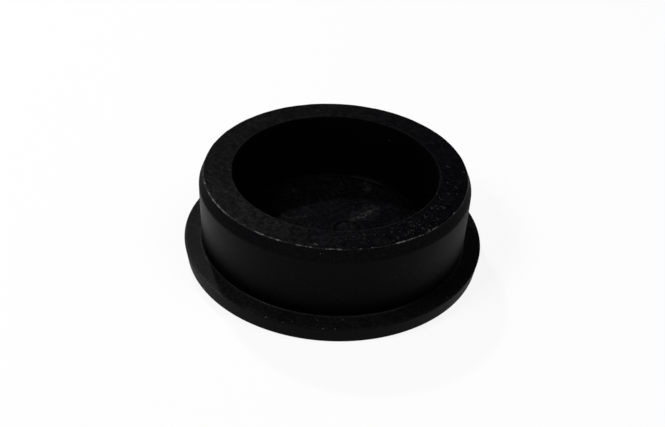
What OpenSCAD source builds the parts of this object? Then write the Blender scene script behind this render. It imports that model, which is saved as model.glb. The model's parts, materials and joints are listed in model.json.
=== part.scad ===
// Rubber stopper: a hollow plug with a closed, flanged end, moulded in one piece.
// Millimetres. It stands on the closed end, with the hollow opening upwards along +Z,
// and the origin is the centre of the face that it rests on.

/* [Plug] */
// Height of the whole stopper, from the resting face to the lip
total_h = 17.3; // [14:0.1:40]
// Diameter of the sealing band, the widest part of the plug
band_d = 50; // [40:0.5:90]
// Height of the sealing band, before its upper edge is rounded
band_h = 1.8; // [1:0.1:3]
// Height of the lead-in slope between the sealing band and the lip
lead_in_h = 2.1; // [1:0.1:4]
// How far the lead-in slope comes in from the sealing band at the lip
lead_in_w = 0.85; // [0.3:0.05:2]
// How far the wall draws in between the sealing band and the flange
neck_relief = 0.2; // [0.05:0.05:0.5]

/* [Flange] */
// Thickness of the flange
flange_h = 3.3; // [2.5:0.1:6]
// How far the flange stands out past the sealing band
flange_w = 3.1; // [2:0.05:12]
// How far the flange's side draws in from its upper to its lower edge
flange_draft = 0.5; // [0.1:0.05:0.8]

/* [Hollow] */
// Width of the flat lip between the mouth and the lead-in slope
lip_w = 5.15; // [2:0.05:8]
// Thickness of the closed end under the hollow
floor_t = 4.7; // [2:0.1:8]
// How far the hollow's wall draws in between the mouth and the floor
hollow_draft = 2; // [0.2:0.1:2.5]

/* [Edges] */
// Radius where the lead-in slope meets the sealing band
band_edge_r = 1.5; // [0.2:0.1:2.5]
// Radius of the flange's upper edge
flange_top_r = 0.2; // [0.1:0.1:1]
// Radius of the flange's lower edge
flange_base_r = 0.3; // [0.1:0.1:0.8]
// Radius in the corner between the wall and the flange
root_r = 0.25; // [0.25:0.05:1]
// Radius of the mouth's edge
mouth_r = 0.2; // [0.1:0.05:0.8]
// Radius in the corner between the hollow's wall and its floor
floor_r = 0.4; // [0.2:0.1:2]

/* [Gate mark] */
// Diameter of the round mark that the moulding gate leaves on the floor
gate_d = 5; // [3:0.1:9]
// How far the middle of the mark lies from the stopper's axis along X
gate_x = 2.7; // [0:0.1:4]
// How far the middle of the mark lies from the stopper's axis along Y
gate_y = -1; // [-3:0.1:3]
// Width of the ring that is sunk around the mark's button
gate_ring_w = 0.4; // [0.2:0.05:0.8]
// Depth of the sunk ring
gate_ring_depth = 0.3; // [0.1:0.05:0.8]
// How far the domed button rises above the floor
gate_dome_h = 0.2; // [0.1:0.05:0.8]

/* [Hidden] */
$fn = 160;
// Straight steps in each rounded edge of an outline
EDGE_STEPS = 8;
// Depth by which the gate mark's button is rooted in the floor
BUTTON_ROOT = 0.5;

band_rad = band_d / 2;
neck_rad = band_rad - neck_relief;
lip_rad = band_rad - lead_in_w;
flange_rad = band_rad + flange_w;
base_rad = flange_rad - flange_draft;
mouth_rad = lip_rad - lip_w;
floor_rad = mouth_rad - hollow_draft;
band_top_z = total_h - lead_in_h;
band_foot_z = band_top_z - band_h;
gate_rad = gate_d / 2;
button_rad = gate_rad - gate_ring_w;

function unit(v) = v / norm(v);

// The rounded corner at c, between its neighbours a and b, as points on an arc of radius r.
function corner(a, c, b, r) =
    let (
        to_a = unit(a - c),
        to_b = unit(b - c),
        half = acos(to_a * to_b) / 2,
        middle = c + unit(to_a + to_b) * r / sin(half),
        from = c + to_a * r / tan(half) - middle,
        to = c + to_b * r / tan(half) - middle,
        start = atan2(from.y, from.x),
        turn = atan2(from.x * to.y - from.y * to.x, from * to)
    )
    [for (i = [0:EDGE_STEPS]) middle + r * [cos(start + turn * i / EDGE_STEPS), sin(start + turn * i / EDGE_STEPS)]];

// An outline from corners written as [x, z, radius], where a radius of 0 leaves the corner sharp.
function outline(corners) =
    let (n = len(corners), at = [for (c = corners) [c[0], c[1]]])
    [for (i = [0:n - 1])
        each corners[i][2] == 0 ? [at[i]] : corner(at[(i + n - 1) % n], at[i], at[(i + 1) % n], corners[i][2])];

// Half of the stopper's section, from the resting face out round the flange, up the plug,
// over the lip and down into the hollow.
module section() {
    polygon(outline([
        [0, 0, 0],
        [base_rad, 0, flange_base_r],
        [flange_rad, flange_h, flange_top_r],
        [neck_rad, flange_h, root_r],
        [band_rad, band_foot_z, 0],
        [band_rad, band_top_z, band_edge_r],
        [lip_rad, total_h, 0],
        [mouth_rad, total_h, mouth_r],
        [floor_rad, floor_t, floor_r],
        [0, floor_t, 0],
    ]));
}

// The round pocket whose outer edge shows as the sunk ring of the gate mark.
module gate_pocket() {
    translate([0, 0, -gate_ring_depth])
        cylinder(r = gate_rad, h = gate_ring_depth + gate_dome_h);
}

// The button in the middle of the gate mark, with a shallow domed top.
module gate_button() {
    foot_z = -gate_ring_depth - BUTTON_ROOT;
    dome_rad = (button_rad * button_rad + gate_dome_h * gate_dome_h) / (2 * gate_dome_h);
    intersection() {
        translate([0, 0, foot_z])
            cylinder(r = button_rad, h = gate_dome_h - foot_z);
        translate([0, 0, gate_dome_h - dome_rad])
            sphere(r = dome_rad);
    }
}

module stopper() {
    color([0.085, 0.085, 0.09]) {
        difference() {
            rotate_extrude()
                section();
            translate([gate_x, gate_y, floor_t])
                gate_pocket();
        }
        translate([gate_x, gate_y, floor_t])
            gate_button();
    }
}

stopper();
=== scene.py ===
# %% [markdown]
# # A rubber stopper
#
# The object is a black rubber stopper, moulded in one piece: a hollow plug with a flat lip, a sloped
# lead-in, a straight sealing band and a wider flange round its closed end. This notebook loads the
# packed solid as a fixed frame, builds a finer mesh of the same form over it, and gives that mesh the
# finish of moulded rubber: a dull bloom, a torn line of flash round the lip, crumbs, a scratch and dust.
# Part of the bloom is painted light and shade, and some of the pale edges are painted highlights.

# %% Tools
import json
import math
import random

import bpy
import numpy as np
from mathutils import Matrix, Vector, noise


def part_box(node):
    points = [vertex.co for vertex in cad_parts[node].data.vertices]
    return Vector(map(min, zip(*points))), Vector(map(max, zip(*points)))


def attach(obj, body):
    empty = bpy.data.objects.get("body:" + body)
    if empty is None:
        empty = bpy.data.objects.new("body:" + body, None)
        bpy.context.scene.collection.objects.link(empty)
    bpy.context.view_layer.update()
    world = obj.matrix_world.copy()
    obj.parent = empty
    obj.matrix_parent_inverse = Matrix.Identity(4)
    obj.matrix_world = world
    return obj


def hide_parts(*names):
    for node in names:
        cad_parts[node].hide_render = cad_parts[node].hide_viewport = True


print(f"Blender {bpy.app.version_string}")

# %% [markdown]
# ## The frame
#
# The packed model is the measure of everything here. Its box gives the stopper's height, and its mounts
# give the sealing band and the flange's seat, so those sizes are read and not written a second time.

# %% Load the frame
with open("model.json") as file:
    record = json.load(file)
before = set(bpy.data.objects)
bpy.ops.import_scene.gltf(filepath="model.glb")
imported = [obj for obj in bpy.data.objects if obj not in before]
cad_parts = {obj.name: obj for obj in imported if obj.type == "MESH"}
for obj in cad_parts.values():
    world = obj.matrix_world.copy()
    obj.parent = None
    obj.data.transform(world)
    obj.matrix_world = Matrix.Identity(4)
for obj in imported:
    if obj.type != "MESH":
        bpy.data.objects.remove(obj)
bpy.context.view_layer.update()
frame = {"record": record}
MM = 0.001
mounts = {mount["name"]: mount for mount in frame["record"]["mounts"]}
TOTAL_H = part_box("stopper")[1].z / MM
BAND_RAD = mounts["sealing_band"]["dims"]["r_mm"]
FLANGE_H = mounts["flange_seat"]["pos_m"][2] / MM
print(f"height {TOTAL_H:.2f} mm, band radius {BAND_RAD:.2f} mm, flange {FLANGE_H:.2f} mm thick")

# %% [markdown]
# ## The camera
#
# A camera could be turned by hand until the view looks right, but it is easier to keep, and to correct,
# as four plain facts: where it stands, what it aims at, how much it is rolled about its own line of
# sight, and how long its lens is. It looks down into the hollow from the front, from about three and
# a half times the stopper's width away.

# %% Place the camera
CAMERA_AT = Vector((0.0, -158.36, 102.88 + TOTAL_H)) * MM
CAMERA_AIM = Vector((-0.226, 0.0, TOTAL_H - 10.036)) * MM
CAMERA_ROLL = math.radians(2.92)
LENS_MM = 55.81
NEAREST_SEEN = 0.005


def add_camera():
    """A camera at that place, turned to its aim point and then rolled."""
    data = bpy.data.cameras.new("camera")
    data.lens = LENS_MM
    data.clip_start = NEAREST_SEEN
    camera = bpy.data.objects.new("camera", data)
    bpy.context.scene.collection.objects.link(camera)
    look = (CAMERA_AIM - CAMERA_AT).to_track_quat("-Z", "Y").to_matrix().to_4x4()
    camera.matrix_world = Matrix.Translation(CAMERA_AT) @ look @ Matrix.Rotation(CAMERA_ROLL, 4, "Z")
    bpy.context.scene.camera = camera
    return camera


camera = add_camera()
print(f"{camera.name} {(CAMERA_AIM - CAMERA_AT).length / MM:.0f} mm from its aim point")

# %% [markdown]
# ## The outline
#
# A moulded plug is a turned form, so half of its section is all that has to be drawn. Each corner of
# the section is written as its radius, its height, the radius of its rounding and the length of the
# mesh steps that follow it. Short steps go where the eye looks: the lip, its edges and the floor of
# the hollow. The alternative, a subdivided copy of the solid, would put as many faces on the hidden
# resting face as on the lip.

# %% Sizes of the section, in millimetres
LEAD_IN_H = 2.1
LEAD_IN_W = 0.85
BAND_H = 1.8
NECK_RELIEF = 0.2
FLANGE_W = 3.1
FLANGE_DRAFT = 0.5
LIP_W = 5.15
FLOOR_T = 4.7
HOLLOW_DRAFT = 2.0
BAND_EDGE_R = 1.5
FLANGE_TOP_R = 0.2
FLANGE_BASE_R = 0.3
ROOT_R = 0.25
LIP_EDGE_R = 0.06
MOUTH_R = 0.2
FLOOR_R = 0.4

NECK_RAD = BAND_RAD - NECK_RELIEF
LIP_RAD = BAND_RAD - LEAD_IN_W
FLANGE_RAD = BAND_RAD + FLANGE_W
MOUTH_RAD = LIP_RAD - LIP_W
FLOOR_RAD = MOUTH_RAD - HOLLOW_DRAFT
BAND_TOP = TOTAL_H - LEAD_IN_H
print(f"radii: flange {FLANGE_RAD:.2f}, lip {LIP_RAD:.2f}, mouth {MOUTH_RAD:.2f}, floor {FLOOR_RAD:.2f} mm")

# %% The section's corners
# Each row is radius, height, rounding and the step of the mesh up to the next corner. The floor has
# its finest steps inside the gate's reach, because the gate's mark lies there.
GATE_REACH = 5.8
GATE_STEP = 0.15
ARC_STEPS = 6
SECTION = [
    (FLANGE_RAD - FLANGE_DRAFT, 0.0, FLANGE_BASE_R, 0.3),
    (FLANGE_RAD, FLANGE_H, FLANGE_TOP_R, 0.25),
    (NECK_RAD, FLANGE_H, ROOT_R, 0.7),
    (BAND_RAD, BAND_TOP - BAND_H, 0.0, 0.4),
    (BAND_RAD, BAND_TOP, BAND_EDGE_R, 0.25),
    (LIP_RAD, TOTAL_H, LIP_EDGE_R, 0.2),
    (MOUTH_RAD, TOTAL_H, MOUTH_R, 0.6),
    (FLOOR_RAD, FLOOR_T, FLOOR_R, 0.4),
    (GATE_REACH, FLOOR_T, 0.0, GATE_STEP),
]


def rounded(before, corner, after, radius):
    """The corner as an arc of that radius, or as itself where the radius is 0."""
    if radius == 0:
        return [corner]
    to_before = (before - corner).normalized()
    to_after = (after - corner).normalized()
    half = to_before.angle(to_after) / 2
    middle = corner + (to_before + to_after).normalized() * radius / math.sin(half)
    start = corner + to_before * radius / math.tan(half) - middle
    end = corner + to_after * radius / math.tan(half) - middle
    turn = math.atan2(start.x * end.y - start.y * end.x, start.dot(end))
    return [middle + Matrix.Rotation(turn * i / ARC_STEPS, 2) @ start for i in range(ARC_STEPS + 1)]


def section_points():
    """The section from the rim of the resting face round to the middle of the hollow's floor."""
    spots = [Vector(row[:2]) for row in SECTION]
    befores = [Vector((0.0, 0.0)), *spots[:-1]]
    afters = [*spots[1:], Vector((0.0, FLOOR_T))]
    arcs = [rounded(b, s, a, row[2]) for b, s, a, row in zip(befores, spots, afters, SECTION)]
    starts = [*(arc[0] for arc in arcs[1:]), Vector((GATE_STEP, FLOOR_T))]
    points = []
    for arc, start, row in zip(arcs, starts, SECTION):
        points += arc
        count = max(1, round((start - arc[-1]).length / row[3]))
        points += [arc[-1].lerp(start, i / count) for i in range(1, count)]
    return [*points, starts[-1]]


points = section_points()
print(f"{len(points)} points round the section")

# %% [markdown]
# ## The turned mesh
#
# The section is turned into rings of points. A ring near the middle needs fewer points than one on
# the flange, so the count halves step by step on the way in, and two rings are joined by plain
# four-sided faces or, where the count halves, by a band of triangles. A spin or a Screw modifier
# would keep one count throughout and leave needle-thin faces round the middle.

# %% Rings
ROUND = 512
FEWEST = 32
FULL_COUNT_RAD = 10.0
BASE_SHRINK = 0.8
SMALLEST_BASE_RING = 1.0


def ring_count(radius):
    """How many points a ring of this radius gets."""
    count = ROUND
    while count > FEWEST and radius < FULL_COUNT_RAD * count / ROUND:
        count //= 2
    return count


def base_points(rim):
    """Coarse rings for the flat resting face, from near its middle out to its rim."""
    radii = [rim * BASE_SHRINK]
    while radii[-1] > SMALLEST_BASE_RING:
        radii.append(radii[-1] * BASE_SHRINK)
    return [Vector((radius, 0.0)) for radius in reversed(radii)]


rings = base_points(points[0].x) + points
counts = [ring_count(ring.x) for ring in rings]
starts = [0, *np.cumsum(counts).tolist()]
print(f"{len(rings)} rings, {starts[-1]} points")


# %% Faces between the rings
def band_faces(first, second):
    """The faces between two rings, each given as its first point's number and its count."""
    a, na = first
    b, nb = second
    faces = []
    for i in range(min(na, nb)):
        j = (i + 1) % min(na, nb)
        if na == nb:
            faces.append((a + i, a + j, b + j, b + i))
        elif na > nb:
            left, middle, right = a + 2 * i, a + 2 * i + 1, a + 2 * j
            faces += [(left, middle, b + i), (middle, b + j, b + i), (middle, right, b + j)]
        else:
            left, middle, right = b + 2 * i, b + 2 * i + 1, b + 2 * j
            faces += [(a + i, middle, left), (a + i, a + j, middle), (a + j, right, middle)]
    return faces


def cap_faces(first, middle, closes_below):
    """The fan of triangles between a ring and the point in its middle."""
    start, count = first
    pairs = [(start + i, start + (i + 1) % count) for i in range(count)]
    return [(j, i, middle) if closes_below else (i, j, middle) for i, j in pairs]


spans = list(zip(starts, counts))
base_middle = starts[-1]
floor_middle = base_middle + 1
faces = cap_faces(spans[0], base_middle, True) + cap_faces(spans[-1], floor_middle, False)
for inner, outer in zip(spans, spans[1:]):
    faces += band_faces(inner, outer)
print(f"{len(faces)} faces")


# %% Places of the points, and the way each one faces
def section_normals(ring_points):
    """The outward normal of the section at each of its points."""
    line = np.array([tuple(point) for point in ring_points])
    along = np.gradient(line, axis=0)
    normals = np.stack([along[:, 1], -along[:, 0]], axis=1)
    return normals / np.linalg.norm(normals, axis=1, keepdims=True)


def turn_round():
    """Every point's place and outward normal, ring by ring, then those of the two middles."""
    normals = section_normals(rings)
    ring_of = np.repeat(np.arange(len(rings)), counts)
    angle = np.concatenate([np.arange(count) * 2 * np.pi / count for count in counts])
    flat = np.array([tuple(ring) for ring in rings])[ring_of]
    facing = normals[ring_of]
    spots = np.stack([flat[:, 0] * np.cos(angle), flat[:, 0] * np.sin(angle), flat[:, 1]], axis=1)
    outward = np.stack([facing[:, 0] * np.cos(angle), facing[:, 0] * np.sin(angle), facing[:, 1]], axis=1)
    spots = np.vstack([spots, [[0, 0, 0], [0, 0, FLOOR_T]]])
    outward = np.vstack([outward, [[0, 0, -1], [0, 0, 1]]])
    return spots, outward


spots, outward = turn_round()
radius = np.hypot(spots[:, 0], spots[:, 1])
angle = np.degrees(np.arctan2(spots[:, 1], spots[:, 0]))
height = spots[:, 2]
print(f"reach {radius.max():.2f} mm, height {height.max():.2f} mm")

# %% [markdown]
# ## Where each face of the stopper lies
#
# The finish differs from face to face: the lip is worn and dusty, the wall is smooth, and the hollow's
# floor carries the gate's mark. So each face gets a mask, a number from 0 to 1 at every point. Vertex
# groups painted by hand would do the same, but a mask worked out from the section's own sizes follows
# every change of size, and its soft border leaves no step in the relief.


# %% Masks from sizes
def fade(values, start, end):
    """0 at start and below, 1 at end and above, with a smooth rise. It falls when start is larger."""
    t = np.clip((values - start) / (end - start), 0, 1)
    return t * t * (3 - 2 * t)


def region(*rows):
    """A mask that is full where every row's is, and soft at its borders.

    A row is a measure, the size it is taken from, and how far past that size, in millimetres or degrees,
    the row's own mask is empty and full.
    """
    mask = np.ones(len(spots))
    for measure, size, empty, full in rows:
        mask = mask * fade(measure, size + empty, size + full)
    return mask


UPWARD = 0.5
above_base = height > FLOOR_T / 2
within_mouth = radius < MOUTH_RAD
outside_neck = radius > NECK_RAD
faces_up = outward[:, 2] > UPWARD
print(f"{int(faces_up.sum())} of {len(spots)} points face up")

# %% Regions
LIP_SLACK = 0.02
SEAT_SLACK = 0.3
on_lip = region((height, TOTAL_H, -0.15, 0), (radius, MOUTH_RAD, 0, 0.6))
on_floor = region((height, FLOOR_T, 0.3, 0), (radius, FLOOR_RAD, 0, -1)) * above_base
on_wall = region((radius, LIP_RAD, -0.2, 0.3), (height, FLANGE_H, 0, 1))
on_seat = region((height, FLANGE_H, -0.2, 0)) * outside_neck * faces_up
lip_face = region((height, TOTAL_H, -0.15, -0.03))
lead_in = region((height, BAND_TOP, -0.4, 0.3)) * (radius > LIP_RAD - LIP_SLACK) * (1 - lip_face)
seat_face = region((height, FLANGE_H, -0.3, -0.1)) * outside_neck * (height < FLANGE_H + SEAT_SLACK)
flange_rim = region((radius, FLANGE_RAD, -0.3, -0.15), (height, FLANGE_H, -0.3, -0.15))
print("points on the lip, floor, wall and seat:",
      [int((mask > 0).sum()) for mask in (on_lip, on_floor, on_wall, on_seat)])

# %% [markdown]
# ## Moulded relief
#
# Rubber shrinks as it cures, so even a new stopper isn't a true turned form: its faces swell and dip
# by a few hundredths of a millimetre, which is just enough to break up a highlight. The gate, where the
# rubber came into the mould, leaves a ring and a low button off the middle of the floor. A Displace
# modifier would move every face by one texture, while numbers per point can be held to one face. All of
# it is real displacement, because the mesh itself has to show it without any material.

# %% Swell
SWELL = 0.02
SWELL_HUMP = 9.0
LIP_SWELL = 0.025
LIP_HUMP = 2.4
HUMP_FALL = 0.6
OCTAVE_STEP = 2.0
SEED_STEP = (17.3, 5.1, 9.7)


def swell(scale, seed, octaves=3):
    """Smooth noise from about -1 to 1 at every point. The scale is the size of its humps in mm."""
    shift = Vector([seed * step for step in SEED_STEP])
    places = (Vector(spot) / scale + shift for spot in spots)
    return np.array([noise.fractal(place, HUMP_FALL, OCTAVE_STEP, octaves) for place in places])


rise = SWELL * swell(SWELL_HUMP, seed=1) * (on_wall + on_seat + on_floor)
rise += LIP_SWELL * swell(LIP_HUMP, seed=2) * on_lip
print(f"swell from {rise.min():.3f} to {rise.max():.3f} mm")

# %% The gate's mark
GATE_AT = Vector((2.7, -1.0))
GATE_RAD = 2.5
GATE_RING_W = 0.4
GATE_RING_DEPTH = 0.3
GATE_BUTTON_H = 0.16
GATE_BUTTON_EDGE = 0.55

from_gate = np.hypot(spots[:, 0] - GATE_AT.x, spots[:, 1] - GATE_AT.y)
ring_middle = GATE_RAD - GATE_RING_W / 2
groove = fade(np.abs(from_gate - ring_middle), GATE_RING_W / 2 + GATE_STEP, 0)
button = fade(from_gate, GATE_RAD - GATE_RING_W, GATE_RAD - GATE_RING_W - GATE_BUTTON_EDGE)
rise += on_floor * (GATE_BUTTON_H * button - GATE_RING_DEPTH * groove)
print(f"the gate's ring is {GATE_RING_DEPTH} mm deep, its button {GATE_BUTTON_H} mm high")

# %% [markdown]
# ## The state of the skin
#
# A stopper that has been about isn't one even black, so every point carries four numbers for the
# material to read: how pale it is, from torn rubber and from painted highlights; how much bloom it
# has, which in places is painted light and shade; and how worn and how rough it is. They could be
# painted by hand in Vertex Paint, but rows of angles and strengths are easier to read and to change,
# and come out the same on every run. The first thing to use them is a scratch on the floor of the
# hollow, which is both cut into the shape and marked as pale.

# %% Marks on the skin
marks = {kind: np.zeros(len(spots)) for kind in ("whitened", "bloomed", "worn", "roughness")}
PATCH_CORE = 0.3


def mark(kind, mask, strength=1.0):
    """Brings one of the four numbers up to the mask times the strength, and never down."""
    marks[kind] = np.maximum(marks[kind], mask * strength)


def lozenge(x, y, turn, length, width):
    """An elongated patch seen from above: 1 in its middle, 0 at its edge."""
    dx = spots[:, 0] - x
    dy = spots[:, 1] - y
    along = dx * math.cos(turn) + dy * math.sin(turn)
    across = dy * math.cos(turn) - dx * math.sin(turn)
    return fade(np.hypot(along / length, across / width), 1, PATCH_CORE)


def by_angle(rows):
    """The value at every point's angle, from rows of an angle in degrees and its value."""
    return np.interp(angle, *zip(*rows))


print("each point carries:", ", ".join(marks))

# %% The scratch on the floor
SCRATCH = [(-10.0, 2.6), (-9.6, 2.0), (-8.9, 1.5), (-8.2, 1.4), (-6.8, 1.7), (-5.3, 2.2)]
SCRATCH_W = 0.22
SCRATCH_DEPTH = 0.03
SCRATCH_WHITE = 0.06


def distance_to(line):
    """How far every point lies from a line of straight runs, seen from above."""
    nearest = np.full(len(spots), np.inf)
    for a, b in zip(line, line[1:]):
        run = np.array(b) - np.array(a)
        offset = spots[:, :2] - np.array(a)
        t = np.clip(offset @ run / (run @ run), 0, 1)
        nearest = np.minimum(nearest, np.linalg.norm(offset - t[:, None] * run, axis=1))
    return nearest


scratch = fade(distance_to(SCRATCH), SCRATCH_W, 0) * on_floor
rise -= SCRATCH_DEPTH * scratch
mark("whitened", scratch, SCRATCH_WHITE)
print(f"a scratch over {int((scratch > 0).sum())} points")

# %% [markdown]
# ## Bloom, painted light and wear
#
# Bloom is the grey film of wax and curing salts that comes to the surface of rubber. Here its amount
# also paints light and shade. Round the lip and the lead-in slope it is heavier where light falls. In
# the flange's shaded front it is heavier as painted light, and it fades out at the foot of the wall as
# painted shade. On the floor of the hollow a few long pale patches are added, partly bloom and partly
# painted light: a lit patch, the streak of a reflection and a light spot. A noise texture alone would
# spread it evenly everywhere: here noise only breaks up what these rows lay down. Worn says how far
# the film is broken into clouds.

# %% Bloom and painted light round each face
# Each row is an angle and how much bloom lies there, which is partly painted light.
# On the lip it is heavier at the left and the back, where light falls: partly painted light.
LIP_BLOOM_AND_LIGHT = [
    (-180, 0.035), (-165, 0.05), (-150, 0.1), (-130, 0.13), (-105, 0.09), (-75, 0.06), (-30, 0.03),
    (15, 0.025), (60, 0.05), (95, 0.08), (120, 0.085), (150, 0.065), (180, 0.035),
]
# On the lead-in slope it is heavier at the front: partly painted light.
LEAD_IN_BLOOM_AND_LIGHT = [(-180, 0.05), (-120, 0.06), (-105, 0.085), (-50, 0.09), (-30, 0.06), (180, 0.05)]
# On the flange's seat it is heaviest at the front left, in the key lamp's shadow: painted light there.
SEAT_BLOOM_AND_LIGHT = [
    (-180, 0.19), (-160, 0.17), (-150, 0.2), (-137, 0.3), (-120, 0.26), (-105, 0.14), (-90, 0.16),
    (-72, 0.16), (-55, 0.1), (-30, 0.16), (0, 0.17), (180, 0.19),
]
WALL_BLOOM = 0.05

clear_of_wall = region((height, FLANGE_H, 0.2, 0.05))
# The wall's bloom fades out towards its foot: painted shade where the wall meets the flange.
wall_clear_of_foot_shade = region((height, FLANGE_H, 0.5, 4))
mark("bloomed", lip_face * by_angle(LIP_BLOOM_AND_LIGHT))
mark("bloomed", lead_in * by_angle(LEAD_IN_BLOOM_AND_LIGHT))
mark("bloomed", seat_face * clear_of_wall * by_angle(SEAT_BLOOM_AND_LIGHT))
mark("bloomed", on_wall * wall_clear_of_foot_shade, WALL_BLOOM)
print(f"bloom up to {marks['bloomed'].max():.2f} outside the hollow")

# %% Bloom and painted light in the hollow, and wear
# Each row is x, y, turn in degrees, half length, half width and strength of a paler patch on the floor,
# partly bloom and partly painted light: a lit patch, the streak of a reflection and a light spot.
LIGHT_AND_BLOOM_PATCHES = [
    (5.8, 3.7, 41, 5.4, 1.0, 0.65), (6.2, 4.2, 35, 5.6, 3.6, 0.2), (6.4, 13.4, 95, 3.8, 1.4, 0.22),
    (-7.7, 10.8, 10, 1.3, 1.0, 0.25), (-5.3, 4.6, 15, 2.4, 1.6, 0.12), (2.0, 0.6, 45, 1.1, 0.5, 0.25),
    (2.7, -0.6, 0, 3.4, 3.0, 0.14),
]
FLOOR_BLOOM = 0.065
LIP_WORN = 1.0
FLOOR_WORN = 0.5
SEAT_WORN = 0.2

# No bloom in the gate's ring groove, so it stays darker: painted shade in the groove.
clear_of_ring_shade = 1 - np.clip(2 * groove, 0, 1)
mark("bloomed", on_floor * clear_of_ring_shade, FLOOR_BLOOM)
for x, y, turn, length, width, strength in LIGHT_AND_BLOOM_PATCHES:
    mark("bloomed", lozenge(x, y, math.radians(turn), length, width) * on_floor * clear_of_ring_shade, strength)
mark("worn", lip_face, LIP_WORN)
mark("worn", on_floor, FLOOR_WORN)
mark("worn", on_seat, SEAT_WORN)
print(f"bloom up to {marks['bloomed'].max():.2f} in all")

# %% [markdown]
# ## Painted highlights along edges
#
# Thin pale lines run along some stretches of the mouth, the flange's rim, the corner at the foot of the
# wall and the corner of the floor. They are painted highlights, laid where these edges catch the light,
# and the one at the mouth is broken into dots. A node that finds edges, such as Geometry's Pointiness,
# would whiten every edge by the same amount all the way round, and these lines come and go. Each line
# is a region, cut short by an angle.

# %% Painted highlights along edges
MOUTH_HIGHLIGHT = 0.07
ROOT_HIGHLIGHT = 0.03
RIM_HIGHLIGHT = 0.15
CORNER_HIGHLIGHT = 0.035
ROOT_SLACK = 0.12
HIGHLIGHT_DOT_HUMP = 0.5

mouth_edge = region((np.abs(radius - MOUTH_RAD), 0, 0.25, 0.05), (height, TOTAL_H, -0.3, -0.1))
# Dots that break up the painted highlight along the mouth.
highlight_dots = region((swell(HIGHLIGHT_DOT_HUMP, seed=4, octaves=2), 0, 0, 0.3), (angle, 0, -30, -50))
lit_rim_span = region((angle, 0, -122, -142))
corner_highlight_span = region(
    (np.abs(radius - FLOOR_RAD), 0, 0.16, 0), (height, FLOOR_T, 0.5, 0.3),
    (angle, 0, 54, 60), (angle, 0, 82, 76)) * above_base
root_highlight_span = region(
    (np.abs(radius - NECK_RAD - ROOT_SLACK), 0, 0.22, 0), (height, FLANGE_H, 0.3, 0.08),
    (angle, 0, -158, -144), (angle, 0, -45, -75))
# Painted highlights: dots along the mouth, the lit left of the flange's rim, a stretch of the floor's
# corner and the wall's root.
mark("whitened", mouth_edge * highlight_dots, MOUTH_HIGHLIGHT)
mark("whitened", flange_rim * lit_rim_span, RIM_HIGHLIGHT)
mark("whitened", corner_highlight_span, CORNER_HIGHLIGHT)
mark("whitened", root_highlight_span, ROOT_HIGHLIGHT)
print(f"{int((marks['whitened'] > 0).sum())} points whitened")

# %% [markdown]
# ## How rough each face is
#
# A moulded face copies the mould: the wall comes out satin, the flat faces of the lip and the flange a
# little glossier, and the edges and the lead-in slope dull. One roughness with noise on it is the quick
# way, but on so dark a material the gloss is most of what is seen, so each face gets its own, and the
# wall's changes round the axis.

# %% Roughness
# Each row is an angle round the wall and its roughness there.
WALL_ROUGHNESS = [
    (-180, 0.46), (-150, 0.41), (-130, 0.42), (-110, 0.46), (-75, 0.5), (-40, 0.49), (-25, 0.53),
    (-5, 0.6), (30, 0.5), (180, 0.46),
]
SIDE_ROUGHNESS = 0.54
TOP_ROUGHNESS = 0.3
LEAD_IN_ROUGHNESS = 0.7
EDGE_ROUGHNESS = 0.75
GATE_ROUGHNESS = 0.85


def give_roughness(mask, value):
    """Moves the roughness towards the value, all the way where the mask is 1."""
    marks["roughness"] += (value - marks["roughness"]) * mask


flange_side = region((height, FLANGE_H, 0, -0.3))
floor_edge = region((height, FLOOR_T, 0.6, 0.3), (height, FLOOR_T, 0, 0.03)) * within_mouth
round_gate = region((from_gate, GATE_RAD, 0.7, 0.1))
give_roughness(1.0, by_angle(WALL_ROUGHNESS))
give_roughness(flange_side, SIDE_ROUGHNESS)
give_roughness(within_mouth * 1.0, SIDE_ROUGHNESS)
give_roughness(np.clip(lip_face + on_floor + on_seat, 0, 1), TOP_ROUGHNESS)
give_roughness(lead_in, LEAD_IN_ROUGHNESS)
give_roughness(np.clip(floor_edge + mouth_edge + flange_rim, 0, 1), EDGE_ROUGHNESS)
give_roughness(on_floor * round_gate, GATE_ROUGHNESS)
print(f"roughness from {marks['roughness'].min():.2f} to {marks['roughness'].max():.2f}")

# %% [markdown]
# ## The stopper as one piece
#
# The relief is added along each point's outward normal, and the four numbers go into the mesh as
# attributes, which an Attribute node can read. The piece rides on the packed body and stands for the
# packed solid, which stays in the model for collision. Smooth shading is safe here, because every sharp
# edge of the section has its own small arc of faces.


# %% Build the stopper
def new_piece(name, places, piece_faces, smooth=True):
    """A mesh piece from its points in millimetres and its faces."""
    mesh = bpy.data.meshes.new(name)
    mesh.from_pydata((np.asarray(places) * MM).tolist(), [], piece_faces)
    mesh.polygons.foreach_set("use_smooth", [smooth] * len(mesh.polygons))
    piece = bpy.data.objects.new(name, mesh)
    bpy.context.scene.collection.objects.link(piece)
    return piece


def paint(piece, name, values):
    """Keeps one number per point in the mesh, for the material to read."""
    layer = piece.data.attributes.new(name, "FLOAT", "POINT")
    layer.data.foreach_set("value", np.asarray(values, dtype=np.float32))


plug = new_piece("plug", spots + outward * rise[:, None], faces)
for kind, values in marks.items():
    paint(plug, kind, values)
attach(plug, "root")
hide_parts("stopper")
print(f"{plug.name}: {sum(len(f.vertices) - 2 for f in plug.data.polygons)} triangles")

# %% [markdown]
# ## The torn flash
#
# Where the two halves of the mould met, round the outer edge of the lip, a thin skin of rubber squeezed
# out and was torn off by hand. What is left is a ragged fin, long in some places and all but gone in
# others, pale where the rubber was stretched. It needs far finer steps round the lip than the plug
# has, so it is a ring of its own, its root sunk into the lip's edge. A displaced edge loop on the
# plug would be simpler, but its teeth would be as coarse as the plug's faces.

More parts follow.
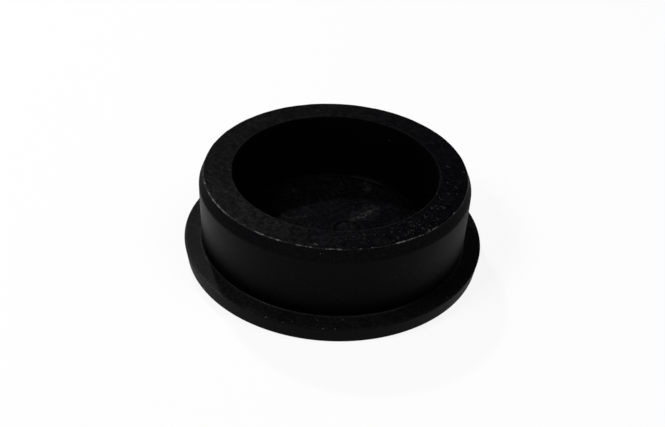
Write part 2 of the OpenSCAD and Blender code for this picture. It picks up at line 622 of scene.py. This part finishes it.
# %% How far the fin stands out
# Each row is an angle round the lip in degrees and the fin's reach there in millimetres.
FLASH_REACH = [
    (-180, 0.05), (-172, 0.15), (-168, 0.22), (-160, 0.25), (-146, 0.25), (-141, 0.28), (-138, 0.15),
    (-131, 0.09), (-127, 0.06), (-124, 0.14), (-120, 0.27), (-116, 0.17), (-112, 0.23), (-108, 0.14),
    (-102, 0.22), (-98, 0.18), (-94.5, 0.1), (-92, 0.2), (-86, 0.18), (-82, 0.14), (-79, 0.17), (-71, 0.14),
    (-67, 0.17), (-63.5, 0.24), (-57, 0.25), (-53, 0.18), (-43, 0.16), (-24, 0.14), (-18, 0.08), (-8, 0.04),
    (12, 0.03), (168, 0.03), (180, 0.05),
]
FLASH_ROUND = 2400
TOOTH = 0.9
TOOTH_SEED = 3.7
TOOTH_FALL = 0.8
TOOTH_OCTAVES = 4
TOOTH_CONTRAST = 0.6
SHORTEST_TOOTH = 0.25
TOOTH_GROWTH = 0.8


def ragged(scale, seed):
    """Noise round the lip's edge, from 0 to 1, with teeth of that size in mm."""
    turns = np.arange(FLASH_ROUND) * math.tau / FLASH_ROUND
    edge = [Vector((math.cos(t), math.sin(t), 0)) * LIP_RAD / scale + Vector((0, 0, seed)) for t in turns]
    rough = np.array([noise.fractal(place, TOOTH_FALL, OCTAVE_STEP, TOOTH_OCTAVES) for place in edge])
    return np.clip(rough * TOOTH_CONTRAST + 0.5, 0, 1)


flash_turn = np.arange(FLASH_ROUND) * 360 / FLASH_ROUND - 180
teeth = SHORTEST_TOOTH + TOOTH_GROWTH * ragged(TOOTH, TOOTH_SEED)
reach = np.interp(flash_turn, *zip(*FLASH_REACH)) * teeth
print(f"the fin reaches {reach.max():.2f} mm at most")

# %% The fin's form
# The fin's section is an oval loop, lifted a little where the fin is long, which grows thinner and
# droops towards its tip. The shares are of the fin's reach, and the other lengths are in millimetres.
FLASH_SECTION = 8
FLASH_ROOT = 0.16
FLASH_FLUSH = 0.03
OUTWARD_SHARE = 0.6
LIFT_SHARE = 0.4
DROOP_SHARE = 0.3
THIN = 0.03
THICKER_SHARE = 0.1
TIP_TAPER = 0.5
LEAST_PALE = 0.05
PALE_PER_MM = 4


def fin_ring():
    """The fin's points, one small loop after another round the lip, and how pale each one is."""
    tip = LIP_RAD + OUTWARD_SHARE * reach
    half_width = (tip - LIP_RAD + FLASH_ROOT) / 2
    half_thick = THIN + THICKER_SHARE * reach
    loop = np.arange(FLASH_SECTION) * math.tau / FLASH_SECTION
    out = (1 + np.cos(loop))[None, :] / 2
    r = (tip - half_width)[:, None] + half_width[:, None] * np.cos(loop)
    z = half_thick[:, None] * (np.sin(loop) * (1 - TIP_TAPER * out) - 1)
    z = z - DROOP_SHARE * reach[:, None] * out**2
    z += TOTAL_H - FLASH_FLUSH + (LIFT_SHARE * reach)[:, None]
    turn = np.radians(flash_turn)[:, None]
    places = np.stack([r * np.cos(turn), r * np.sin(turn), z], axis=2).reshape(-1, 3)
    return places, np.repeat(np.clip(PALE_PER_MM * reach + LEAST_PALE, 0, 1), FLASH_SECTION)


fin_places, fin_pale = fin_ring()
print(f"{len(fin_places)} points round the fin")

# %% Build the fin
FIN_WHITE = 0.6
TORN_ROUGHNESS = 0.5


def loop_faces(loops, around):
    """The faces of a closed ring made of small closed loops."""
    return [(i * around + j, (i + 1) % loops * around + j,
             (i + 1) % loops * around + (j + 1) % around, i * around + (j + 1) % around)
            for i in range(loops) for j in range(around)]


def paint_torn(piece, whitened):
    """Torn rubber is pale, has no bloom on it and is equally rough all over."""
    paint(piece, "whitened", whitened)
    for kind, value in (("bloomed", 0), ("worn", 0), ("roughness", TORN_ROUGHNESS)):
        paint(piece, kind, np.full(len(whitened), value))


flash = new_piece("lip_flash", fin_places, loop_faces(FLASH_ROUND, FLASH_SECTION))
paint_torn(flash, fin_pale * FIN_WHITE)
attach(flash, "root")
print(f"{flash.name}: {len(flash.data.polygons) * 2} triangles")

# %% [markdown]
# ## Crumbs and grit
#
# Tearing the flash off leaves crumbs of rubber on the lip, thickest at its front right, and a little
# grit lies on the flange and in the hollow. Each is a low shard with a ridge, sunk a little into the
# face it rests on. As part of the plug's own mesh they would need faces a tenth of a millimetre wide all
# over the lip, and as paint alone they would be missing from the mesh's shape. The ones that stand
# out are placed one by one, and the rest are scattered by a seeded generator, so that every run gives
# the same ones.

# %% Where the crumbs lie
# Each row is an angle and a radius, the half length, the turn from straight outward in degrees, and how
# pale the crumb is.
CRUMBS = [
    (-96.6, 23.2, 0.7, 80, 0.9), (-128.6, 23.9, 0.3, 90, 0.7), (-84.0, 21.4, 0.3, 20, 0.2),
    (-80.2, 20.7, 0.3, 60, 0.25), (-75.3, 20.4, 0.5, 55, 0.45), (-70.1, 20.8, 0.5, 80, 0.4),
    (-66.0, 21.2, 0.3, 40, 0.35), (-64.0, 23.4, 0.5, 15, 0.3), (-62.0, 21.0, 0.45, 10, 0.35),
    (-60.1, 20.2, 0.3, 70, 0.2), (-61.4, 22.9, 0.3, 0, 0.35), (-57.8, 22.8, 0.35, 30, 0.35),
    (-55.3, 22.6, 0.4, 60, 0.35), (-53.1, 22.3, 0.45, 80, 0.35), (-50.2, 21.4, 0.4, 0, 0.25),
    (-49.6, 20.2, 0.6, 75, 0.45), (-48.1, 23.0, 0.35, 30, 0.3), (-47.6, 21.8, 0.3, 50, 0.3),
    (-47.0, 23.8, 0.45, 80, 0.8), (-44.4, 23.1, 0.35, 20, 0.3), (-40.1, 21.0, 0.3, 45, 0.2),
    (-40.3, 22.5, 0.3, 60, 0.3), (-38.2, 22.6, 0.3, 10, 0.3), (-32.4, 20.4, 0.6, 60, 0.4),
    (-29.6, 20.5, 0.3, 50, 0.25), (-29.2, 22.0, 0.45, 70, 0.4), (-28.7, 21.5, 0.3, 0, 0.3),
    (-25.2, 22.2, 0.35, 40, 0.25), (-16.6, 21.1, 0.35, 20, 0.2), (-10.6, 22.1, 0.55, 150, 0.6),
    (-7.4, 20.5, 0.35, 10, 0.4), (7.5, 20.8, 0.5, 120, 0.25), (3.0, 23.5, 0.5, 140, 0.4),
    (-112.5, 27.9, 0.16, 0, 0.9), (-102.9, 27.3, 0.2, 40, 0.5), (-93.9, 27.4, 0.16, 90, 0.7),
    (-91.6, 28.0, 0.16, 20, 0.9), (-139.4, 25.4, 0.16, 0, 0.6), (-153.6, 26.4, 0.16, 50, 0.6),
    (-84.4, 25.6, 0.4, 30, 0.4), (-62.0, 27.6, 0.16, 0, 0.5), (-87.4, 27.9, 0.16, 70, 0.7),
    (-41.3, 27.6, 0.16, 20, 0.5), (-29.9, 24.9, 0.2, 60, 0.5),
]
CRUMB_W = 0.2
CRUMB_H = 0.08
CRUMB_WHITE = 0.4
CRUMB_SUNK = 0.03
print(f"{len(CRUMBS)} crumbs placed one by one")

# %% Where the small ones are scattered
# Each row is a number of small crumbs, the radii and the angles they lie between, the commonest angle,
# the longest half length and the greatest paleness.
SCATTER = [
    (300, MOUTH_RAD + 0.4, LIP_RAD - 0.2, -108, 16, -52, 0.34, 0.5),
    (90, MOUTH_RAD + 0.3, LIP_RAD - 0.2, -180, 180, -150, 0.17, 0.5),
    (110, NECK_RAD + 0.4, FLANGE_RAD - 0.1, -178, -25, -100, 0.17, 0.5),
    (40, 1.0, FLOOR_RAD - 1.0, -40, 180, 30, 0.17, 0.5),
]
SMALLEST_CRUMB = 0.06
FAINTEST_CRUMB = 0.05
SPECK_H = 0.04
NARROWEST = 0.4
BROADEST = 0.9
CRUMB_SEED = 11
draw = random.Random(CRUMB_SEED)

crumb_rows = [(spin, out, length, turn, CRUMB_W, CRUMB_H, pale) for spin, out, length, turn, pale in CRUMBS]
for count, nearest, farthest, first, last, common, longest, palest in SCATTER:
    for _ in range(count):
        length = draw.triangular(SMALLEST_CRUMB, longest, SMALLEST_CRUMB)
        spin = draw.triangular(first, last, common)
        out = draw.uniform(nearest, farthest)
        turn = draw.uniform(0, 180)
        width = length * draw.uniform(NARROWEST, BROADEST)
        pale = draw.triangular(FAINTEST_CRUMB, palest, FAINTEST_CRUMB)
        crumb_rows.append((spin, out, length, turn, width, SPECK_H, pale))
print(f"{len(crumb_rows)} crumbs in all")

# %% The form of a crumb
FEET = 6
CRUMB_POINTS = FEET + 2
CRUMB_FACES = [(0, 1, 6), (1, 2, 7, 6), (2, 3, 7), (3, 4, 7), (4, 5, 6, 7), (5, 0, 6), (5, 4, 3, 2, 1, 0)]
SHORTEST_FOOT = 0.65
LONGEST_FOOT = 1.15
RIDGE_END = 0.45
RIDGE_DRIFT = 0.3
LOWEST_RIDGE = 0.5


def rests_at(out):
    """The height of the face at that radius, as seen from above."""
    if out < FLOOR_RAD:
        return FLOOR_T
    return TOTAL_H if MOUTH_RAD < out < LIP_RAD else FLANGE_H


def crumb(spin, out, length, turn, width, tall):
    """Six uneven points round the foot of a crumb and the two ends of its ridge, in their place."""
    form = []
    for i in range(FEET):
        stretch = draw.uniform(SHORTEST_FOOT, LONGEST_FOOT)
        bearing = math.tau * i / FEET
        along = math.cos(bearing) * length * stretch
        across = math.sin(bearing) * width * stretch
        form.append((along, across, -CRUMB_SUNK))
    for end in (RIDGE_END, -RIDGE_END):
        aside = draw.uniform(-RIDGE_DRIFT, RIDGE_DRIFT) * width
        form.append((end * length, aside, tall * draw.uniform(LOWEST_RIDGE, 1)))
    place = Matrix.Rotation(math.radians(spin), 4, "Z") @ Matrix.Translation((out, 0, rests_at(out)))
    place = place @ Matrix.Rotation(math.radians(turn), 4, "Z")
    return [tuple(place @ Vector(point)) for point in form]


print(f"a crumb has {CRUMB_POINTS} points and {len(CRUMB_FACES)} faces")

# %% Build the crumbs
crumb_places = []
crumb_faces = []
crumb_pale = []
for *form, pale in crumb_rows:
    crumb_faces += [tuple(len(crumb_places) + i for i in face) for face in CRUMB_FACES]
    crumb_places += crumb(*form)
    crumb_pale += [pale * CRUMB_WHITE] * CRUMB_POINTS
crumbs = new_piece("crumbs", crumb_places, crumb_faces, smooth=False)
paint_torn(crumbs, np.array(crumb_pale))
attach(crumbs, "root")
print(f"{crumbs.name}: {len(crumb_places)} points")

# %% [markdown]
# ## A shorthand for shader maths
#
# Node trees built call by call are hard to read. Here an output socket is wrapped so that it can stand
# in a sum: adding or multiplying two of them adds the Math node that does it. Everything else comes
# from one method that makes a node of a given type. The node editor would show the same tree, and this
# way each mask is one line that can be read from left to right.


# %% The wire
class Wire:
    """An output socket that can be used in sums."""

    def __init__(self, tree, socket=None):
        self.tree = tree
        self.socket = socket

    def node(self, kind, settings=None, sockets=None, output=0):
        """Adds a node: first its settings, then its sockets' values or links."""
        made = self.tree.nodes.new("ShaderNode" + kind)
        for name, value in (settings or {}).items():
            setattr(made, name, value)
        for name, value in (sockets or {}).items():
            if isinstance(value, Wire):
                self.tree.links.new(value.socket, made.inputs[name])
            else:
                made.inputs[name].default_value = value
        return Wire(self.tree, made.outputs[output] if made.outputs else None)

    def maths(self, operation, *values):
        """Adds a Math node that works on the values."""
        return self.node("Math", {"operation": operation}, dict(enumerate(values)))

    def __add__(self, other):
        return self.maths("ADD", self, other)

    def __sub__(self, other):
        return self.maths("SUBTRACT", self, other)

    def __rsub__(self, other):
        return self.maths("SUBTRACT", other, self)

    def __mul__(self, other):
        return self.maths("MULTIPLY", self, other)

    __radd__ = __add__
    __rmul__ = __mul__

    def rise(self, low, high):
        """0 below low, 1 above high, smooth between."""
        return self.node("MapRange", {"interpolation_type": "SMOOTHSTEP"},
                         {"Value": self, "From Min": low, "From Max": high})

    def blend(self, dark, light):
        """A colour between two, by this mask."""
        return self.node("Mix", {"data_type": "RGBA"}, {0: self, 6: dark, 7: light}, 2)


print(Wire.__doc__)


# %% A material to fill
def new_material(name):
    """An empty material, and a wire that adds nodes to it."""
    material = bpy.data.materials.new(name)
    material.use_nodes = True
    material.node_tree.nodes.clear()
    return material, Wire(material.node_tree)


def finish_material(tree, shader):
    """Leads the shader to the material's output."""
    tree.node("OutputMaterial", {}, {"Surface": shader})


print(f"{len(bpy.data.materials)} materials so far")

# %% [markdown]
# ## Black rubber
#
# Carbon-black rubber is nearly as dark as anything gets, so what the eye reads is its skin: a faint
# grey bloom that has come to the surface, the pale stretched rubber of torn edges, and dust. On a worn
# face the bloom breaks into clouds a millimetre or so wide, which are a little raised and rough, and on
# an unworn one it lies evenly. The skin is a weak, broad mirror. One black with a noise on its
# roughness would be quicker, but it would look like black paint. Here masks mix the bloom and the tears
# into the colour, and the four numbers kept in the mesh say where each of them goes.
# The bloom's grey also paints light and shade in places, and the pale grey of torn rubber also paints
# highlights along some edges.

# %% Colours, and the size of each texture
RUBBER = (0.0003, 0.0003, 0.0008, 1)
# Grey of the bloom, which also paints light and shade.
BLOOM_AND_LIGHT_GREY = (0.03, 0.03, 0.031, 1)
# Pale grey of torn rubber, which also paints highlights along some edges.
TORN_AND_HIGHLIGHT_GREY = (0.2, 0.197, 0.192, 1)
SPECULAR = 0.03
# Each scale is how many humps or cells there are in a metre.
CLOUDS = {"Scale": 1250.0, "Detail": 3.0, "Roughness": 0.6}
DRIFT = {"Scale": 300.0, "Detail": 2.0}
GRIT = {"Scale": 3000.0, "Detail": 1.0}
GRAIN = {"Scale": 4200.0, "Detail": 2.0}
DUST = {"Scale": 400.0}
# The values of each texture between which its mask rises from 0 to 1.
CLOUD_RISE = (0.36, 0.66)
DRIFT_RISE = (0.3, 0.7)
GRIT_RISE = (0.5, 0.78)
GRAIN_RISE = (0.25, 0.6)
DUST_RISE = (0.02, 0.045)
print(f"the clouds are about {1 / CLOUDS['Scale'] / MM:.1f} mm wide")

# %% How strong each texture is
CLOUD_FILM = 1.05
FILM_BETWEEN = 0.18
DRIFT_FILM = 0.9
FILM_LEFT = 0.55
EVEN_FILM = 0.7
CLOUDED_BY = 2.0
GRIT_FILM = 1.6
DUST_PALE = 0.3
GRAIN_RELIEF = 0.2
RELIEF_DEPTH = 0.00003
CLOUD_ROUGHNESS = 0.15
print(f"the skin's relief is {RELIEF_DEPTH / MM:.2f} mm deep")


# %% Moulded rubber
def moulded_rubber():
    """Rubber that takes its bloom with painted light and shade, its tears with painted highlights, its wear
    and its roughness from the numbers kept in the mesh.
    """
    material, tree = new_material("moulded_rubber")
    whitened, bloomed, worn, rough = (
        tree.node("Attribute", {"attribute_name": kind}, {}, "Fac")
        for kind in ("whitened", "bloomed", "worn", "roughness"))
    place = tree.node("TexCoord", {}, {}, "Object")
    clouds, drift, grit, grain = (
        tree.node("TexNoise", {}, {"Vector": place, **sockets})
        for sockets in (CLOUDS, DRIFT, GRIT, GRAIN))
    dust = tree.node("TexVoronoi", {}, {"Vector": place, **DUST}, "Distance")

    patchy = clouds.rise(*CLOUD_RISE) * CLOUD_FILM + FILM_BETWEEN
    patchy = patchy * (drift.rise(*DRIFT_RISE) * DRIFT_FILM + FILM_LEFT)
    cloudy = tree.maths("MINIMUM", worn * CLOUDED_BY, 1.0)
    film = patchy * cloudy + (1 - cloudy) * EVEN_FILM + grit.rise(*GRIT_RISE) * GRIT_FILM
    # The bloom's grey, which in places is painted light and shade.
    skin = (bloomed * film).blend(RUBBER, BLOOM_AND_LIGHT_GREY)
    # Pale from torn rubber and painted highlights, and from dust.
    pale = whitened * grain.rise(*GRAIN_RISE) + (1 - dust.rise(*DUST_RISE)) * DUST_PALE
    relief = grain * GRAIN_RELIEF + clouds * worn
    shader = tree.node("BsdfPrincipled", {}, {
        "Base Color": pale.blend(skin, TORN_AND_HIGHLIGHT_GREY),
        "Roughness": rough + worn * (clouds - 0.5) * CLOUD_ROUGHNESS,
        "Specular IOR Level": SPECULAR,
        "Normal": tree.node("Bump", {}, {"Height": relief, "Strength": 1.0, "Distance": RELIEF_DEPTH})})
    finish_material(tree, shader)
    return material


rubber = moulded_rubber()
for piece in (plug, flash, crumbs):
    piece.data.materials.append(rubber)
print(f"{rubber.name}: {len(rubber.node_tree.nodes)} nodes")

# %% [markdown]
# ## The floor and the backdrop
#
# The stopper stands on a sheet of white paper that runs up behind it. Here that is a wide round floor
# with an upright wall, far larger than the stopper, so that its edge never shows. Plain white paper
# would need more light than the rubber can take before it looks white. So a camera's own rays, and the
# ones that come off a gloss or through glass, see mostly an even glow. The rest of what they see is
# paper, which keeps a faint shadow under the stopper. Rays that a dull surface scatters see the paper
# alone, so the stopper mirrors the glow a little and isn't lit by it otherwise.

# %% Stage
FLOOR_REACH = 6.0
FLOOR_DROP = 0.00002
BACKDROP_H = 1.7
STAGE_ROUND = 96
SHADOW_SHARE = 0.12
STAGE_COLOUR = (0.9, 0.9, 0.9, 1)


def white_stage():
    """Paper for the light, and a white glow with a little paper in it for the camera."""
    material, tree = new_material("white_stage")
    paper = tree.node("BsdfDiffuse", {}, {"Color": STAGE_COLOUR})
    glow = tree.node("Emission", {}, {"Color": (1, 1, 1, 1), "Strength": 1.0})
    camera_ray, glossy_ray, clear_ray = (
        tree.node("LightPath", {}, {}, name)
        for name in ("Is Camera Ray", "Is Glossy Ray", "Is Transmission Ray"))
    seen = camera_ray + glossy_ray + clear_ray
    shader = tree.node("MixShader", {}, {0: seen * (1 - SHADOW_SHARE), 1: paper, 2: glow})
    finish_material(tree, shader)
    return material


def ring_of_points(reach, z):
    """Points round the axis, in metres."""
    turns = [i * math.tau / STAGE_ROUND for i in range(STAGE_ROUND)]
    return [(reach * math.cos(turn), reach * math.sin(turn), z) for turn in turns]


print(f"the floor reaches {FLOOR_REACH} m, and the wall round it is {BACKDROP_H} m high")

# %% Build the stage
stage_points = ring_of_points(FLOOR_REACH, -FLOOR_DROP) + ring_of_points(FLOOR_REACH, BACKDROP_H)
stage_faces = [tuple(range(STAGE_ROUND))]
for i in range(STAGE_ROUND):
    j = (i + 1) % STAGE_ROUND
    stage_faces.append((i, j, STAGE_ROUND + j, STAGE_ROUND + i))
stage = new_piece("stage", np.array(stage_points) / MM, stage_faces, smooth=False)
stage.data.materials.append(white_stage())
print(f"{stage.name}: {len(stage_faces)} faces")

# %% [markdown]
# ## Light
#
# Black rubber shows little colour, so light draws it only where a lamp is mirrored. A small key lamp
# stands high behind the stopper: it rakes over the lip and the floor of the hollow, and leaves the
# front of the flange in shadow. A broad lamp at the left and a weaker one at the right make the two
# soft pale bands on the wall. A sky picture would light the stopper with less work, but lamps say
# plainly where each highlight comes from. The levels are plain ones, at which a colour renders about
# as it is written.

# %% Lamps
# Each row is a name, azimuth and elevation in degrees, distance and width in metres, and radiance.
LAMPS = [
    ("key", 115, 48, 0.55, 0.03, 585.0),
    ("side", 210, 50, 0.55, 0.2, 17.0),
    ("fill", 340, 60, 0.55, 0.2, 8.5),
]
SKY = 0.01


def add_lamp(name, azimuth, elevation, distance, width, radiance):
    """A round lamp that faces the origin. Its power is its radiance times pi times its area."""
    data = bpy.data.lights.new(name, "AREA")
    data.shape = "DISK"
    data.size = width
    data.energy = radiance * math.pi * math.pi * (width / 2) ** 2
    lamp = bpy.data.objects.new(name, data)
    bpy.context.scene.collection.objects.link(lamp)
    around = math.radians(azimuth)
    up = math.radians(elevation)
    lamp.location = Vector((
        math.cos(around) * math.cos(up), math.sin(around) * math.cos(up), math.sin(up))) * distance
    lamp.rotation_euler = (-lamp.location).to_track_quat("-Z", "Y").to_euler()
    return lamp


def add_sky(strength):
    """An even white sky of that strength."""
    world = bpy.data.worlds.new("sky")
    world.use_nodes = True
    world.node_tree.nodes["Background"].inputs["Color"].default_value = (1, 1, 1, 1)
    world.node_tree.nodes["Background"].inputs["Strength"].default_value = strength
    bpy.context.scene.world = world


lamps = [add_lamp(*row) for row in LAMPS]
add_sky(SKY)
bpy.context.scene.view_settings.view_transform = "Standard"
for lamp in lamps:
    print(f"{lamp.name}: {lamp.data.energy:.2f} W")

# %% [markdown]
# ## The end
